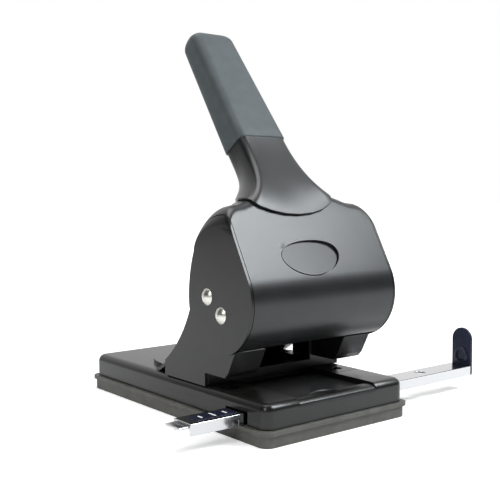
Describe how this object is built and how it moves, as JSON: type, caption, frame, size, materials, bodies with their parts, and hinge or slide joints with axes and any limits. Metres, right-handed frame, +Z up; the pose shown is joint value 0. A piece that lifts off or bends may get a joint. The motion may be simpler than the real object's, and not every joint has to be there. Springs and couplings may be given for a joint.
{
  "type": "hole punch",
  "caption": "Heavy-duty two-hole paper punch with a long upright lever, steel column, long base with chip tray and a sliding paper guide.",
  "frame": {"origin": "centre of the chip tray's flat underside, on the desk plane", "axes": "+X to the right as seen from the paper side, +Y to the rear over the long base, +Z up"},
  "size_m": [0.2335, 0.19, 0.235],
  "materials": {
    "tray_plastic": "soft moulded plastic, fine grain",
    "foot_rubber": "matt rubber",
    "black_paint": "satin black powder coat on steel",
    "lever_paint": "satin black powder coat on steel",
    "black_plastic": "satin black plastic",
    "plated_steel": "zinc plated",
    "dark_steel": "oiled steel",
    "tool_steel": "ground tool steel",
    "brass_bush": "turned brass",
    "spring_steel": "drawn spring wire",
    "nickel": "polished nickel plate",
    "grip_rubber": "slate grey soft-touch rubber",
    "guide_chrome": "bright plated sheet steel",
    "scale_label": "dark glossy strip with plain marks",
    "guide_plastic": "dark blue-black gloss plastic"
  },
  "bodies": {
    "base": {"base_tray": "tray_plastic", "rubber_feet": "foot_rubber", "base_cover": "black_paint", "centre_panel": "black_plastic", "cover_screws": "plated_steel", "die_plate_left": "black_paint", "die_plate_right": "black_paint", "paper_stop": "black_paint", "column_screws": "plated_steel", "side_plate_left": "black_paint", "side_plate_right": "black_paint", "column_rear_web": "black_paint", "stretcher_rod": "plated_steel", "nose_left": "black_paint", "nose_right": "black_paint", "punch_bush_left": "brass_bush", "punch_bush_right": "brass_bush", "fulcrum_axle": "nickel", "pivot_washers": "plated_steel", "punch_spring_left": "spring_steel", "punch_spring_right": "spring_steel", "guide_track": "black_plastic", "guide_detent": "spring_steel"},
    "lever": {"lever_frame": "black_paint", "front_cover": "lever_paint", "front_inset": "black_plastic", "pusher_axle": "nickel", "pusher_rollers": "plated_steel", "handle_core": "plated_steel", "handle_rivets": "nickel", "handle_grip": "grip_rubber"},
    "punch_carriage": {"pressure_bar": "dark_steel", "punch_pin_left": "tool_steel", "punch_pin_right": "tool_steel", "pin_clips": "plated_steel"},
    "paper_guide": {"guide_bar": "guide_chrome", "guide_scale": "scale_label", "guide_tongue": "guide_chrome", "guide_stop": "guide_plastic"}
  },
  "joints": [
    {"name": "lever_pivot", "type": "hinge", "parent": "base", "child": "lever", "pos_m": [0, -0.0556, 0.0659], "axis": [-1, 0, 0], "range_deg": [0, 50], "stiffness_Nm_per_rad": 0.35, "springref_deg": -68.75},
    {"name": "punch_slide", "type": "slide", "parent": "base", "child": "punch_carriage", "axis": [0, 0, -1], "range_m": [0, 0.01323], "deforming": ["punch_spring_left", "punch_spring_right"]},
    {"name": "guide_slide", "type": "slide", "parent": "base", "child": "paper_guide", "axis": [1, 0, 0], "range_m": [-0.075, 0.03]}
  ],
  "couplings": [
    {"joint": "punch_slide", "follows": "lever_pivot", "m_per_rad": 0.015138}
  ]
}
